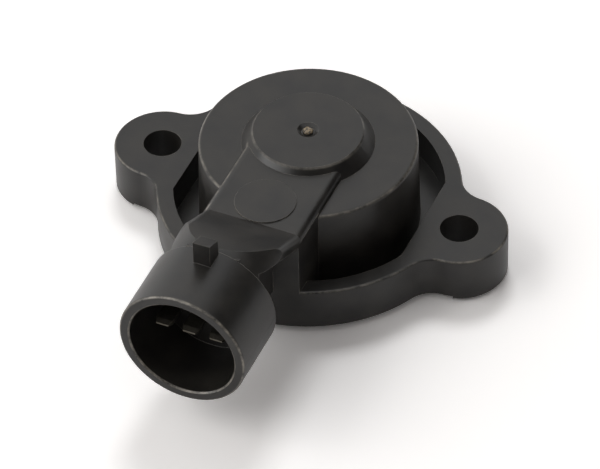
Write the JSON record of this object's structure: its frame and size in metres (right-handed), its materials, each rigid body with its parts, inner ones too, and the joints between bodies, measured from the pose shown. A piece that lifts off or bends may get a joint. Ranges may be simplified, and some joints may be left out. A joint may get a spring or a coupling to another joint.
{
  "type": "throttle position sensor",
  "caption": "Rotary throttle position sensor: round flanged housing with screw ears, a raised cap and a side connector, over a sprung rotor with a drive socket.",
  "frame": {"origin": "on the rotor's axis, in the plane of the feet under the two ears", "axes": "+Z along the rotor's axis from the mounting face to the cap; the screw holes lie along X; the connector points to -Y"},
  "size_m": [0.069, 0.0746, 0.0311],
  "materials": {
    "black_plastic": "semi-gloss, glass-filled, as moulded",
    "seal_rubber": "smooth moulded",
    "board_laminate": "satin laminate",
    "carbon_ink": "printed, matt",
    "silver_ink": "printed, satin",
    "tinned_brass": "tin plated",
    "solder": "reflowed",
    "amber_plastic": "satin, as moulded",
    "contact_bronze": "stamped",
    "spring_steel": "drawn"
  },
  "bodies": {
    "housing": {"housing": "black_plastic", "rear_cover": "black_plastic", "mounting_seal": "seal_rubber", "rotor_seal": "seal_rubber", "element_board": "board_laminate", "resistive_track": "carbon_ink", "collector_track": "silver_ink", "supply_lead": "silver_ink", "signal_lead": "silver_ink", "ground_lead": "silver_ink", "supply_terminal": "tinned_brass", "signal_terminal": "tinned_brass", "ground_terminal": "tinned_brass", "supply_solder": "solder", "signal_solder": "solder", "ground_solder": "solder", "return_spring": "spring_steel", "wave_washer": "spring_steel"},
    "rotor": {"rotor": "amber_plastic", "wiper": "contact_bronze"}
  },
  "joints": [
    {"name": "rotor_turn", "type": "hinge", "parent": "housing", "child": "rotor", "pos_m": [0, 0, 0], "axis": [0, 0, 1], "range_deg": [0, 100], "stiffness_Nm_per_rad": 0.01, "springref_deg": -34.38, "deforming": ["return_spring"]}
  ]
}
